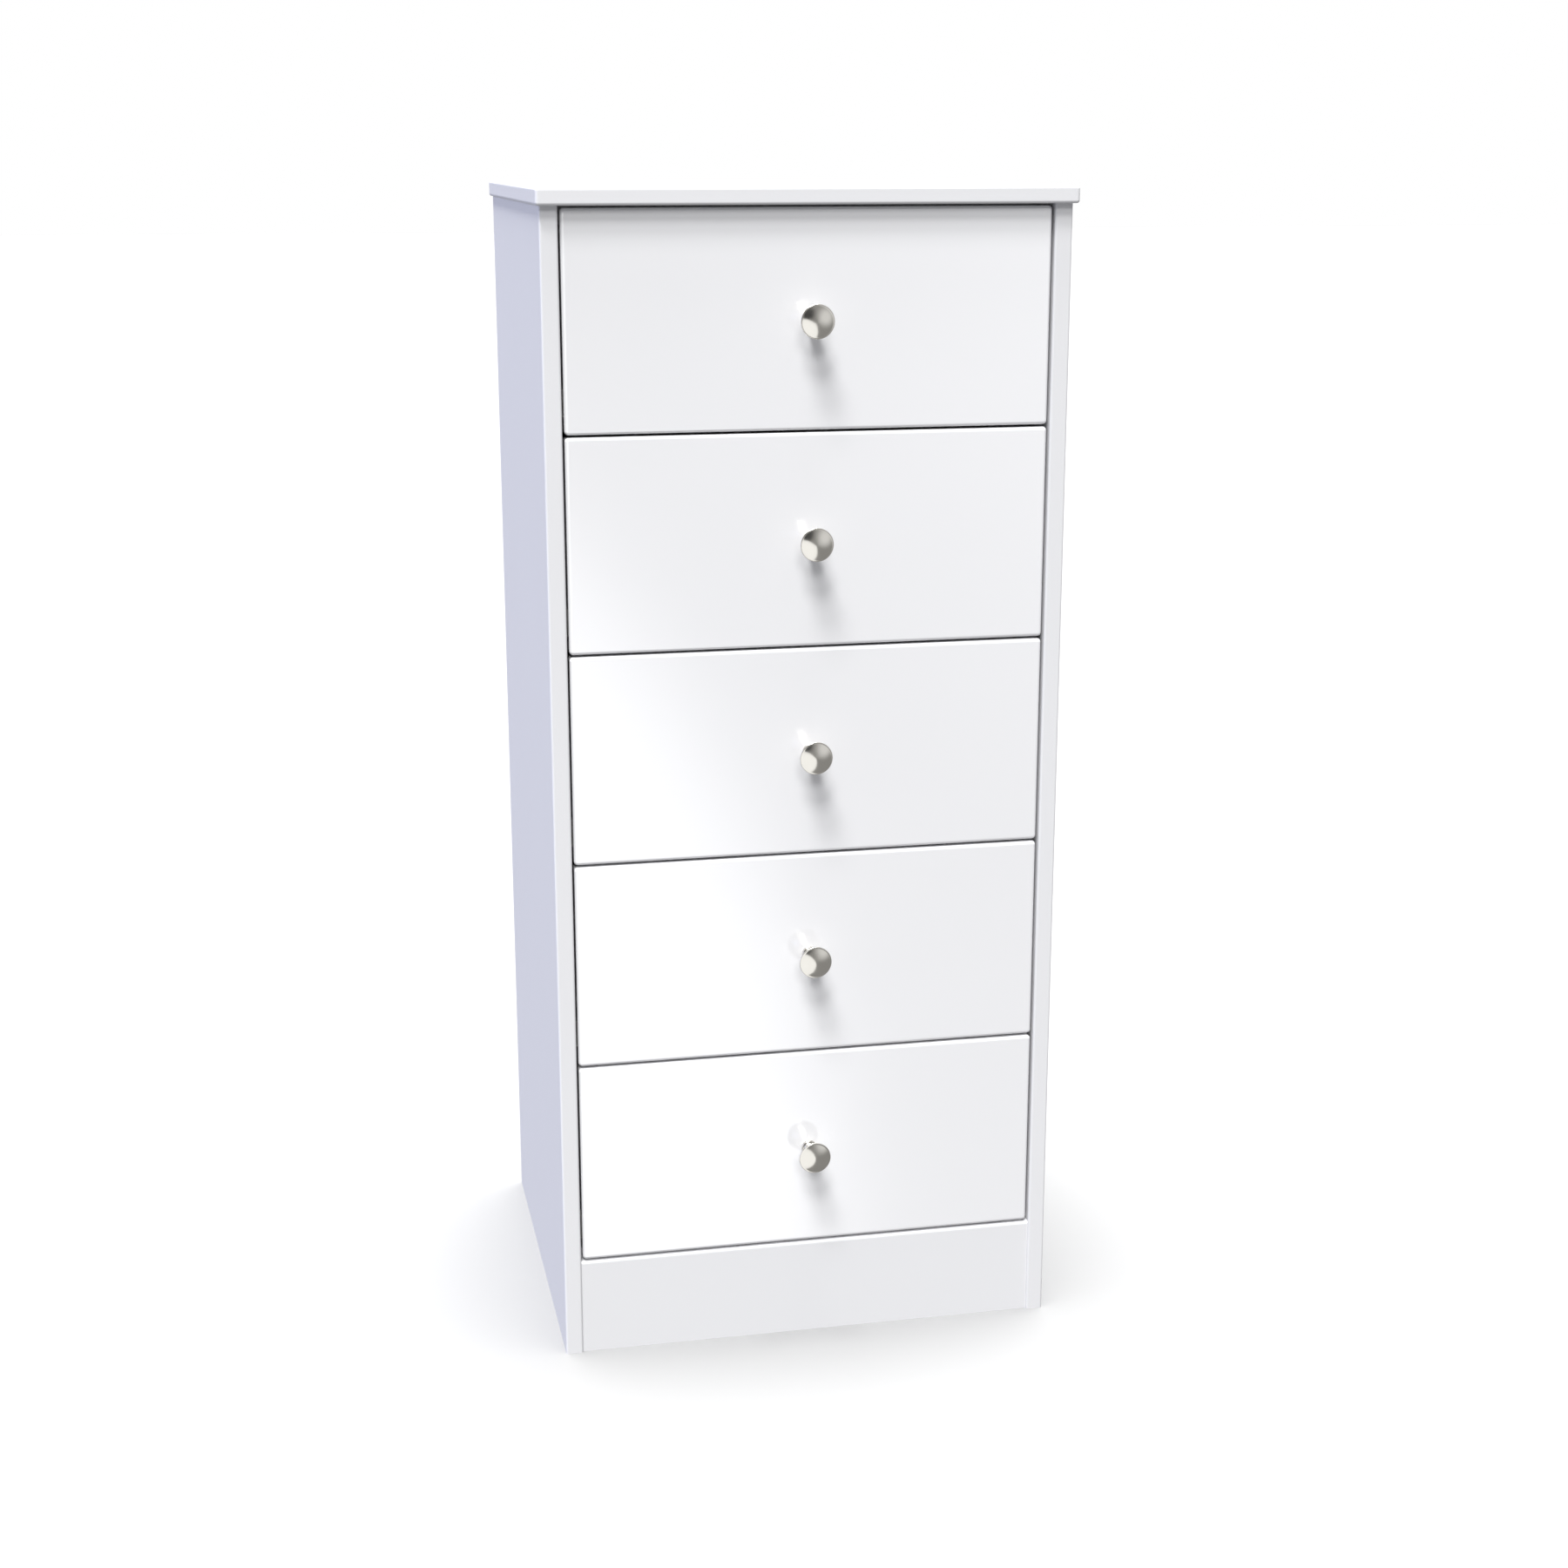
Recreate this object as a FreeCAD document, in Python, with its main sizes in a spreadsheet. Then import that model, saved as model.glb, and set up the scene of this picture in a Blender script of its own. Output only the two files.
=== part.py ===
import FreeCAD, Part
import math
import os
import re
import Sketcher

# Tall chest of five drawers. Millimetres, +Z up, the drawers open towards -Y.
# The origin is the middle of the footprint, on the floor, with the knobs counted in.

SIZES = {
    # carcass
    "carcass_wide": 470.0,  # over the two side panels
    "carcass_deep": 406.0,  # front edge of a side panel to the back
    "full_high": 1075.0,
    "board": 16.0,  # side panels, fronts, plinth and stretchers
    "top_thick": 15.0,
    "top_side_lip": 3.5,
    "top_front_lip": 9.0,
    "top_corner": 3.0,
    "top_round": 2.5,
    "side_round": 2.0,
    "plinth_high": 92.5,
    "plinth_set": 2.5,  # plinth face behind the side panels' front edges
    "plinth_round": 3.0,
    "base_thick": 15.0,
    "base_level": 85.0,
    "back_thick": 3.0,
    "back_set": 1.0,  # back panel inside the side panels' rear edges
    "back_lap": 8.0,  # width of the rebate that holds the back panel
    "rail_deep": 60.0,
    "rail_set": 20.0,
    "dowel_across": 8.0,
    "dowel_long": 30.0,
    "dowel_bite": 9.0,  # how far a level dowel goes into a side panel
    # drawer fronts
    "gap": 2.0,
    "front_pitch": 193.1,
    "front_set": 2.0,  # fronts behind the side panels' front edges
    "front_corner": 3.5,
    "front_round": 3.0,
    # drawer box
    "box_deep": 350.0,
    "box_high": 140.0,
    "box_board": 12.0,
    "box_rise": 18.0,  # underside of the box above the front's lower edge
    "bottom_thick": 3.0,
    "bottom_rise": 8.0,
    "groove_deep": 6.0,
    # knob and its screw
    "knob_across": 30.0,
    "knob_long": 30.0,
    "knob_rim": 1.2,
    "dome_high": 2.0,
    "dome_bend": 55.0,
    "dome_flat": 3.0,  # flat middle of the dome
    "neck_across": 9.0,
    "neck_start": 6.0,
    "neck_bend": 26.0,
    "flange_across": 14.0,
    "flange_thick": 3.5,
    "screw_across": 4.0,
    "knob_bore": 4.1,
    "screw_bite": 12.0,
    "screw_room": 4.5,
    "screw_head": 8.0,
    "screw_head_thick": 3.0,
    # runners
    "runner_room": 12.5,  # between the box and the side panel
    "steel": 1.2,
    "channel_wide": 9.0,
    "channel_high": 24.0,
    "channel_drop": 4.2,  # channel below the underside of the box
    "channel_notch": 28.0,  # top flange left out above the front roller
    "runner_set": 20.0,
    "member_high": 24.0,
    "member_lip": 8.0,
    "roller_across": 17.0,
    "roller_thick": 6.0,
    "roller_inset": 2.5,
    "roller_play": 0.3,
    "roller_end": 14.0,  # roller axis from the end of its runner
    "pin_across": 5.0,
    "bore_across": 5.1,
    "collar_across": 8.0,
    "rivet_thick": 0.8,
    "side_play": 0.1,
}

DRAWERS = 5
SIDES = {"left": -1, "right": 1}
NORMAL_SIGN = {"XY_Plane": "", "XZ_Plane": "-", "YZ_Plane": ""}

# Places that several sub-parts share, as formulas on the sheet.
FRONT_Y = "(knob_long - front_set - carcass_deep) / 2"
INNER_X = "(carcass_wide / 2 - board)"
BOX_X = "(carcass_wide / 2 - board - runner_room)"
UNDER_TOP = "(full_high - top_thick)"
BACK_FACE = "(carcass_deep - back_set - back_thick)"
FRONT_HIGH = "(front_pitch - gap)"
ROLLER_MIDDLE = "(roller_inset + roller_thick / 2)"
FRONT_ROLLER_Z = "(box_rise + member_high - steel - roller_play - roller_across / 2)"
REAR_ROLLER_Z = "(box_rise - channel_drop + steel + roller_play + roller_across / 2)"


def formula(text):
    """The text with the sheet's name put before each of its aliases."""
    return re.sub(r"[a-z_]+", lambda word: "Size." + word[0] if word[0] in SIZES else word[0], str(text))


def front_level(number):
    """Height of the lower edge of a drawer front. Drawer 1 is the top one."""
    return f"(plinth_high + gap + {DRAWERS - number} * front_pitch)"


def make_sheet(doc):
    sheet = doc.addObject("Spreadsheet::Sheet", "Size")
    for row, (alias, value) in enumerate(SIZES.items(), start=1):
        sheet.set(f"A{row}", str(value))
        sheet.setAlias(f"A{row}", alias)
    doc.recompute()
    return sheet


def new_body(doc, label, x="0", y="0", z="0"):
    body = doc.addObject("PartDesign::Body", label)
    body.Label = label
    for axis, place in zip("xyz", (x, y, z)):
        body.setExpression(f"Placement.Base.{axis}", formula(place))
    return body


def carcass_body(doc, label):
    """Local y is counted from the side panels' front edges."""
    return new_body(doc, label, y=FRONT_Y)


def drawer_body(doc, number, name, rise="0"):
    """Local y is counted from the front's face, z from its lower edge plus rise."""
    label = f"drawer_{number}_{name}"
    return new_body(doc, label, y=f"{FRONT_Y} + front_set", z=f"{front_level(number)} + {rise}")


def origin_plane(body, role):
    return next(item for item in body.Origin.OriginFeatures if item.Role == role)


def new_sketch(body, name, role, middle="0"):
    sketch = body.newObject("Sketcher::SketchObject", name)
    sketch.AttachmentSupport = [(origin_plane(body, role), "")]
    sketch.MapMode = "FlatFace"
    sketch.setExpression("AttachmentOffset.Base.z", formula(f"{NORMAL_SIGN[role]}({middle})"))
    return sketch


def bind(sketch, kind, args, text):
    """Adds a driving constraint whose value is a formula on the sheet."""
    value = float(sketch.evalExpression(formula(text)))
    index = sketch.addConstraint(Sketcher.Constraint(kind, *args, value))
    sketch.setExpression(f"Constraints[{index}]", formula(text))


def arc_between(start, end, radius):
    """Arc from start to end. A positive radius turns left, a negative one turns right."""
    chord = end - start
    across = FreeCAD.Vector(-chord.y, chord.x, 0).normalize()
    half = chord.Length / 2
    sagitta = abs(radius) - math.sqrt(radius * radius - half * half)
    middle = (start + end) / 2 - across * math.copysign(sagitta, radius)
    return Part.Arc(start, middle, end)


def outline(sketch, corners):
    """A closed outline. Each corner is (x, y) or (x, y, radius of the arc to the next corner)."""
    spots = [
        FreeCAD.Vector(*(float(sketch.evalExpression(formula(text))) for text in corner[:2]), 0)
        for corner in corners
    ]
    starts, ends = [], []
    for number, corner in enumerate(corners):
        here, there = spots[number], spots[(number + 1) % len(spots)]
        if len(corner) == 2:
            index = sketch.addGeometry(Part.LineSegment(here, there), False)
        else:
            radius = float(sketch.evalExpression(formula(corner[2])))
            index = sketch.addGeometry(arc_between(here, there, radius), False)
        turned = (sketch.getPoint(index, 1) - here).Length > (sketch.getPoint(index, 2) - here).Length
        starts.append((index, 2 if turned else 1))
        ends.append((index, 1 if turned else 2))
    for number, corner in enumerate(corners):
        following = starts[(number + 1) % len(corners)]
        sketch.addConstraint(Sketcher.Constraint("Coincident", *ends[number], *following))
        bind(sketch, "DistanceX", (-1, 1, *starts[number]), corner[0])
        bind(sketch, "DistanceY", (-1, 1, *starts[number]), corner[1])
        if len(corner) == 3:
            bind(sketch, "Radius", (starts[number][0],), f"abs({corner[2]})")


def circle(sketch, x, y, across):
    index = sketch.addGeometry(Part.Circle(FreeCAD.Vector(1, 1, 0), FreeCAD.Vector(0, 0, 1), 1), False)
    bind(sketch, "DistanceX", (-1, 1, index, 3), x)
    bind(sketch, "DistanceY", (-1, 1, index, 3), y)
    bind(sketch, "Diameter", (index,), across)


def extrude(body, sketch, length, kind="Pad"):
    """Pads or pockets a sketch evenly to both sides of its plane."""
    feature = body.newObject(f"PartDesign::{kind}", f"{sketch.Name}{kind}")
    feature.Profile = sketch
    feature.SideType = "Symmetric"
    feature.setExpression("Length", formula(length))
    return feature


def pad_outlines(body, name, role, outlines, middle, length):
    sketch = new_sketch(body, name, role, middle)
    for corners in outlines:
        outline(sketch, corners)
    return extrude(body, sketch, length)


def box_corners(x_low, x_high, y_low, y_high):
    return [(x_low, y_low), (x_high, y_low), (x_high, y_high), (x_low, y_high)]


def disc(body, name, role, spot, across, middle, length, bore=None):
    sketch = new_sketch(body, name, role, middle)
    circle(sketch, *spot, across)
    if bore:
        circle(sketch, *spot, bore)
    return extrude(body, sketch, length)


def pocket(body, name, role, corners, middle, length):
    """Cuts a slot, and makes sure that it took material away."""
    body.Document.recompute()
    before = body.Shape.Volume
    sketch = new_sketch(body, name, role, middle)
    outline(sketch, corners)
    feature = extrude(body, sketch, length, "Pocket")
    body.Document.recompute()
    if body.Shape.Volume > before - 1:
        raise RuntimeError(f"{name} cut nothing")
    return feature


def round_edges(body, name, radius, wanted):
    """Fillets the edges whose bounding box, in the body's own frame, passes the test."""
    body.Document.recompute()
    base = body.Tip
    names = [f"Edge{i}" for i, edge in enumerate(base.Shape.Edges, start=1) if wanted(edge.BoundBox)]
    fillet = body.newObject("PartDesign::Fillet", name)
    fillet.Base = (base, names)
    fillet.setExpression("Radius", formula(radius))
    return fillet


def near(value, target):
    return abs(value - target) < 0.01


def inward(side, distance):
    """The x of a place this far in from the side panel's inner face."""
    return f"{side} * ({INNER_X} - {distance})"


# Carcass


def top_panel(doc):
    body = carcass_body(doc, "top_board")
    half = "(carcass_wide / 2 + top_side_lip)"
    corners = box_corners(f"-{half}", half, "-top_front_lip", "carcass_deep")
    pad_outlines(body, "TopOutline", "XY_Plane", [corners], "full_high - top_thick / 2", "top_thick")
    low = -SIZES["top_front_lip"]
    back = SIZES["carcass_deep"]
    round_edges(body, "TopCorners", "top_corner", lambda b: b.ZLength > 1 and near(b.YMax, low))
    round_edges(body, "TopEdges", "top_round", lambda b: b.ZLength < 0.01 and not near(b.YMin, back))
    return body


def side_panel(doc, name, side):
    body = carcass_body(doc, f"{name}_side_board")
    inner, outer = INNER_X, "(carcass_wide / 2)"
    rebate_x, rebate_y = f"({INNER_X} + back_lap)", BACK_FACE
    plan = [(inner, "0"), (outer, "0"), (outer, "carcass_deep"), (rebate_x, "carcass_deep"),
            (rebate_x, rebate_y), (inner, rebate_y)]
    corners = [(f"{side} * {x}", y) for x, y in plan]
    pad_outlines(body, f"{name}Plan", "XY_Plane", [corners], f"{UNDER_TOP} / 2", UNDER_TOP)
    round_edges(body, f"{name}Edges", "side_round", lambda b: b.ZLength > 1 and near(b.YMax, 0))
    return body


def back_panel(doc):
    body = carcass_body(doc, "back_panel")
    half = f"({INNER_X} + back_lap)"
    corners = box_corners(f"-{half}", half, "base_level", UNDER_TOP)
    pad_outlines(body, "BackOutline", "XZ_Plane", [corners], f"{BACK_FACE} + back_thick / 2", "back_thick")
    return body


def plinth_board(doc):
    body = carcass_body(doc, "plinth")
    corners = box_corners(f"-{INNER_X}", INNER_X, "0", "plinth_high")
    pad_outlines(body, "PlinthOutline", "XZ_Plane", [corners], "plinth_set + board / 2", "board")
    face, top = SIZES["plinth_set"], SIZES["plinth_high"]
    round_edges(body, "PlinthEdge", "plinth_round", lambda b: near(b.YMax, face) and near(b.ZMin, top))
    return body


def base_board(doc):
    body = carcass_body(doc, "base")
    corners = box_corners(f"-{INNER_X}", INNER_X, "plinth_set + board", BACK_FACE)
    pad_outlines(body, "BaseOutline", "XY_Plane", [corners], "base_level + base_thick / 2", "base_thick")
    return body


def front_stretcher(doc):
    body = carcass_body(doc, "front_rail")
    corners = box_corners(f"-{INNER_X}", INNER_X, "rail_set", "rail_set + rail_deep")
    pad_outlines(body, "FrontRail", "XY_Plane", [corners], f"{UNDER_TOP} - board / 2", "board")
    return body


def rear_stretcher(doc):
    body = carcass_body(doc, "rear_rail")
    corners = box_corners(f"-{INNER_X}", INNER_X, f"{UNDER_TOP} - rail_deep", UNDER_TOP)
    pad_outlines(body, "RearRail", "XZ_Plane", [corners], f"{BACK_FACE} - board / 2", "board")
    return body


def carcass_dowels(doc):
    """Upright dowels join the top to the sides. Level ones join the boards between the sides."""
    body = carcass_body(doc, "carcass_dowels")
    rail_y = f"{BACK_FACE} - board / 2"
    level_spots = [
        ("plinth_set + board / 2", "plinth_high / 2"),
        ("carcass_deep * 0.2", "base_level + base_thick / 2"),
        ("carcass_deep * 0.8", "base_level + base_thick / 2"),
        ("rail_set + rail_deep / 2", f"{UNDER_TOP} - board / 2"),
        (rail_y, f"{UNDER_TOP} - rail_deep * 0.3"),
        (rail_y, f"{UNDER_TOP} - rail_deep * 0.75"),
    ]
    for name, side in SIDES.items():
        x = f"{side} * (carcass_wide - board) / 2"
        for share in (0.15, 0.5, 0.85):
            spot = (x, f"carcass_deep * {share}")
            disc(body, f"{name}Upright", "XY_Plane", spot, "dowel_across", f"{UNDER_TOP} - 5", "dowel_long")
        middle = inward(side, "(dowel_long / 2 - dowel_bite)")
        for spot in level_spots:
            disc(body, f"{name}Level", "YZ_Plane", spot, "dowel_across", middle, "dowel_long")
    return body


def cabinet_runners(doc):
    """Pressed channels, each with a pin for its front roller. The lowest pair is repeated upwards."""
    body = carcass_body(doc, "cabinet_runners")
    low = f"({front_level(DRAWERS)} + box_rise - channel_drop)"
    high = f"({low} + channel_high)"
    features = []
    angles, flanges = [], []
    for side in SIDES.values():
        section = [("0", low), ("channel_wide", low), ("channel_wide", f"{low} + steel"),
                   ("steel", f"{low} + steel"), ("steel", high), ("0", high)]
        angles.append([(inward(side, u), z) for u, z in section])
        edges = [inward(side, "steel"), inward(side, "channel_wide")]
        flanges.append(box_corners(*edges, f"{high} - steel", high))
    middle = "runner_set + box_deep / 2"
    features.append(pad_outlines(body, "Angles", "XZ_Plane", angles, middle, "box_deep"))
    middle = "runner_set + (box_deep + channel_notch) / 2"
    length = "box_deep - channel_notch"
    features.append(pad_outlines(body, "TopFlanges", "XZ_Plane", flanges, middle, length))
    spot = ("runner_set + roller_end", f"{front_level(DRAWERS)} + {FRONT_ROLLER_Z}")
    outer = "(roller_inset + roller_thick + side_play)"
    for name, side in SIDES.items():
        features += stepped_pin(body, f"{name}Cabinet", side, spot, "steel", "roller_inset - side_play", outer)
    pattern = body.newObject("PartDesign::LinearPattern", "Levels")
    pattern.Originals = features
    pattern.Direction = (origin_plane(body, "Z_Axis"), [""])
    pattern.setExpression("Length", formula(f"{DRAWERS - 1} * front_pitch"))
    pattern.Occurrences = DRAWERS
    body.Tip = pattern
    return body


def stepped_pin(body, name, side, spot, web, collar_end, head_start, head_way=1):
    """Collar from the web to the roller, shank through it, and the rivet head beyond."""
    head_end = f"({head_start} + {head_way} * rivet_thick)"
    steps = [
        ("Collar", "collar_across", web, collar_end),
        ("Shank", "pin_across", web, head_start),
        ("Head", "collar_across", head_start, head_end),
    ]
    features = []
    for step, across, start, end in steps:
        middle = inward(side, f"({start} + {end}) / 2")
        length = f"abs({start} - {end})"
        features.append(disc(body, name + step, "YZ_Plane", spot, across, middle, length))
    return features


# Drawers


def drawer_front(doc, number):
    body = drawer_body(doc, number, "front")
    half = f"({INNER_X} - gap)"
    corners = box_corners(f"-{half}", half, "0", FRONT_HIGH)
    pad_outlines(body, "Face", "XZ_Plane", [corners], "board / 2", "board")
    round_edges(body, "Corners", "front_corner", lambda b: b.YLength > 1)
    round_edges(body, "Edges", "front_round", lambda b: near(b.YMax, 0))
    groove_half = f"({BOX_X} - box_board + groove_deep)"
    low = "(box_rise + bottom_rise)"
    slot = box_corners(f"-{groove_half}", groove_half, low, f"{low} + bottom_thick")
    pocket(body, "Groove", "XZ_Plane", slot, "board - groove_deep / 2", "groove_deep")
    hole = new_sketch(body, "ScrewHole", "XZ_Plane", "board / 2")
    circle(hole, "0", f"{FRONT_HIGH} / 2", "screw_room")
    extrude(body, hole, "board + 1", "Pocket")
    return body


def drawer_side(doc, number, name, side):
    """Board with a groove for the drawer's bottom along its inner face."""
    body = drawer_body(doc, number, f"{name}_side", "box_rise")
    inner, floor = f"({BOX_X} - box_board)", f"({BOX_X} - box_board + groove_deep)"
    low, high = "bottom_rise", "bottom_rise + bottom_thick"
    section = [(inner, "0"), (BOX_X, "0"), (BOX_X, "box_high"), (inner, "box_high"),
               (inner, high), (floor, high), (floor, low), (inner, low)]
    corners = [(f"{side} * {x}", z) for x, z in section]
    pad_outlines(body, "Section", "XZ_Plane", [corners], "board + box_deep / 2", "box_deep")
    return body


def drawer_back(doc, number):
    body = drawer_body(doc, number, "back", "box_rise")
    half = f"({BOX_X} - box_board)"
    corners = box_corners(f"-{half}", half, "bottom_rise + bottom_thick", "box_high")
    pad_outlines(body, "Back", "XZ_Plane", [corners], "board + box_deep - box_board / 2", "box_board")
    return body


def drawer_bottom(doc, number):
    body = drawer_body(doc, number, "bottom", "box_rise")
    half = f"({BOX_X} - box_board + groove_deep)"
    corners = box_corners(f"-{half}", half, "board - groove_deep", "board + box_deep")
    pad_outlines(body, "Sheet", "XY_Plane", [corners], "bottom_rise + bottom_thick / 2", "bottom_thick")
    return body


def turned_body(doc, number, name):
    """A body turned round the knob's axis: local z points out of the drawer's face."""
    body = drawer_body(doc, number, name, f"{FRONT_HIGH} / 2")
    body.Placement.Rotation = FreeCAD.Rotation(FreeCAD.Vector(1, 0, 0), 90)
    return body


def revolve(body, name, corners):
    sketch = new_sketch(body, name, "XZ_Plane")
    outline(sketch, corners)
    feature = body.newObject("PartDesign::Revolution", f"{name}Turned")
    feature.Profile = sketch
    feature.ReferenceAxis = (origin_plane(body, "Z_Axis"), [""])
    feature.Angle = 360
    return feature


def knob(doc, number):
    """Flange, neck that flares like a trumpet, thin rim and a slightly domed face."""
    body = turned_body(doc, number, "knob")
    rim = "(knob_long - dome_high)"
    corners = [
        ("knob_bore / 2", "0"),
        ("flange_across / 2", "0"),
        ("flange_across / 2", "flange_thick"),
        ("neck_across / 2", "flange_thick"),
        ("neck_across / 2", "neck_start", "-neck_bend"),
        ("knob_across / 2", f"{rim} - knob_rim"),
        ("knob_across / 2", rim, "dome_bend"),
        ("dome_flat / 2", "knob_long"),
        ("0", "knob_long"),
        ("0", "screw_bite"),
        ("knob_bore / 2", "screw_bite"),
    ]
    revolve(body, "Profile", corners)
    return body


def knob_screw(doc, number):
    """Round-headed screw from inside the drawer through the front into the knob."""
    body = turned_body(doc, number, "knob_screw")
    corners = [
        ("0", "-board - screw_head_thick"),
        ("screw_head / 2 - 1", "-board - screw_head_thick"),
        ("screw_head / 2", "-board - screw_head_thick + 1"),
        ("screw_head / 2", "-board"),
        ("screw_across / 2", "-board"),
        ("screw_across / 2", "screw_bite"),
        ("0", "screw_bite"),
    ]
    revolve(body, "Profile", corners)
    return body


def drawer_runners(doc, number):
    """The pair of members under the drawer's sides, each with its rear roller's pin."""
    body = drawer_body(doc, number, "runners")
    low, high = "box_rise", "(box_rise + member_high)"
    web = "(runner_room - steel)"
    sections = []
    for side in SIDES.values():
        section = [(f"{web} + member_lip + steel", f"{low} - steel"), (f"{web} + member_lip + steel", low),
                   ("runner_room", low), ("runner_room", high), ("roller_inset", high),
                   ("roller_inset", f"{high} - steel"), (web, f"{high} - steel"), (web, f"{low} - steel")]
        sections.append([(inward(side, f"({u})"), z) for u, z in section])
    pad_outlines(body, "Members", "XZ_Plane", sections, "board + box_deep / 2", "box_deep")
    spot = ("board + box_deep - roller_end", REAR_ROLLER_Z)
    collar_end = "(roller_inset + roller_thick + side_play)"
    for name, side in SIDES.items():
        stepped_pin(body, name, side, spot, web, collar_end, "(roller_inset - side_play)", -1)
    return body


def roller_pair(doc, number, name, y, z):
    """Two rollers on one axis, left and right."""
    body = drawer_body(doc, number, name)
    for end, side in SIDES.items():
        middle = inward(side, ROLLER_MIDDLE)
        disc(body, end, "YZ_Plane", (y, z), "roller_across", middle, "roller_thick", "bore_across")
    return body


def drilled(doc, label, board, dowels):
    """The board with the dowels' holes cut into it."""
    cut = doc.addObject("Part::Cut", label)
    cut.Label = label
    cut.Base = board
    cut.Tool = dowels
    return cut


def build_carcass(doc):
    dowels = carcass_dowels(doc)
    boards = {
        "top_panel": top_panel(doc),
        "left_side_panel": side_panel(doc, "left", -1),
        "right_side_panel": side_panel(doc, "right", 1),
        "plinth_board": plinth_board(doc),
        "base_board": base_board(doc),
        "front_stretcher": front_stretcher(doc),
        "rear_stretcher": rear_stretcher(doc),
    }
    parts = [drilled(doc, label, board, dowels) for label, board in boards.items()]
    return parts + [dowels, back_panel(doc), cabinet_runners(doc)]


def build_drawer(doc, number):
    return [
        drawer_front(doc, number),
        drawer_side(doc, number, "left", -1),
        drawer_side(doc, number, "right", 1),
        drawer_back(doc, number),
        drawer_bottom(doc, number),
        knob(doc, number),
        knob_screw(doc, number),
        drawer_runners(doc, number),
        roller_pair(doc, number, "rear_rollers", "board + box_deep - roller_end", REAR_ROLLER_Z),
        roller_pair(doc, number, "cabinet_rollers", "runner_set + roller_end - front_set", FRONT_ROLLER_Z),
    ]


def check_objects(doc, parts):
    for item in doc.Objects:
        if {"Invalid", "Error"} & set(item.State):
            raise RuntimeError(f"{item.Name} ({item.Label}) did not recompute")
    for part in parts:
        if part.Shape.isNull() or not part.Shape.isValid():
            raise RuntimeError(f"{part.Label} has no valid shape")


def main():
    doc = FreeCAD.newDocument("TallChest")
    make_sheet(doc)
    parts = build_carcass(doc)
    for number in range(1, DRAWERS + 1):
        parts += build_drawer(doc, number)
    doc.recompute()
    check_objects(doc, parts)
    os.makedirs("parts", exist_ok=True)
    for part in parts:
        part.Shape.exportStep(f"parts/{part.Label}.step")
        print(part.Label, len(part.Shape.Solids), round(part.Shape.Volume))


main()
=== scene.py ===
import math

import bmesh
import bpy
from mathutils import Matrix, Vector


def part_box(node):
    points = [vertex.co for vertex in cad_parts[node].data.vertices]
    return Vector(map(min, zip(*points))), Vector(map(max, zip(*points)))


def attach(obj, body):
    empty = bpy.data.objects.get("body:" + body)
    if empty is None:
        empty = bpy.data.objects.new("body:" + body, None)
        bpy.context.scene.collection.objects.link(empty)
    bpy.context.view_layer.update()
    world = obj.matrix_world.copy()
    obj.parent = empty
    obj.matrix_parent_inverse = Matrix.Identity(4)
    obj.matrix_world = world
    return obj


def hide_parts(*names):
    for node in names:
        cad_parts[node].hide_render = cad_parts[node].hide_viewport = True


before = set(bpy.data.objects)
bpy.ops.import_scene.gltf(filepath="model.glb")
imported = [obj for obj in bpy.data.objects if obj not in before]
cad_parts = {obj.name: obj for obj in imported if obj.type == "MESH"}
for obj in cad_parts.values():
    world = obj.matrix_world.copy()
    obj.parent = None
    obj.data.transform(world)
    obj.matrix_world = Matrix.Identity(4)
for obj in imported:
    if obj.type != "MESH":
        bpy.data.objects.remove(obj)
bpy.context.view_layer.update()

bl_info = {
    "name": "Tall chest of drawers",
    "version": (1, 0, 0),
    "blender": (4, 5, 0),
    "location": "3D View > Sidebar > Chest",
    "description": "Knobs, runners, rollers, screws and finishes of a narrow chest with five drawers",
    "category": "Object",
}

# Metres, +Z up, the drawers open towards -Y. Places come from the frame.
MM = 0.001
MADE = {}  # finishes already made
DRAWERS = [f"drawer_{number}" for number in range(1, 6)]
SIDES = (-1, 1)  # left, right
TO_FRONT = Matrix.Rotation(math.radians(90), 4, "X")  # a turned piece's +Z becomes -Y
TO_BACK = Matrix.Rotation(math.radians(-90), 4, "X")
TO_RIGHT = Matrix.Rotation(math.radians(90), 4, "Y")
TO_LEFT = Matrix.Rotation(math.radians(-90), 4, "Y")


def linear(code):
    """A linear colour from sRGB hex digits."""
    parts = [int(code[start:start + 2], 16) / 255 for start in (0, 2, 4)]
    return [part / 12.92 if part <= 0.04045 else ((part + 0.055) / 1.055) ** 2.4 for part in parts]


def colour(name, code, description):
    return bpy.props.FloatVectorProperty(
        name=name, description=description, subtype="COLOR", size=3, min=0, max=1, default=linear(code)
    )


def length(name, millimetres, description):
    return bpy.props.FloatProperty(
        name=name, description=description, unit="LENGTH", min=0, default=millimetres * MM
    )


def strength(name, value, description):
    return bpy.props.FloatProperty(name=name, description=description, min=0, default=value)


class ChestFinishes(bpy.types.PropertyGroup):
    foil: colour("Front foil", "E2E2E4", "Satin white foil wrapped round the drawer fronts")
    carcass: colour("Carcass foil", "D8D8DA", "Matt white foil wrapped round the carcass boards")
    box_board: colour("Drawer boards", "E6E5E1", "Matt white paper foil of the drawer boxes")
    lacquer: colour("Hardboard face", "E3E1DC", "White lacquered face of the hardboard")
    fibre: colour("Hardboard back", "9C7853", "Bare pressed wood fibre")
    nickel: colour("Nickel", "ADABA6", "Satin nickel plating of the knobs")
    zinc: colour("Zinc", "B9BDC1", "Bright zinc plating of the screws")
    enamel: colour("Runner enamel", "E4E3DE", "White epoxy enamel of the runners")
    nylon: colour("Nylon", "E9E8E3", "White nylon of the rollers")
    beech: colour("Beech", "C9A071", "Beech of the dowels")


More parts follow.
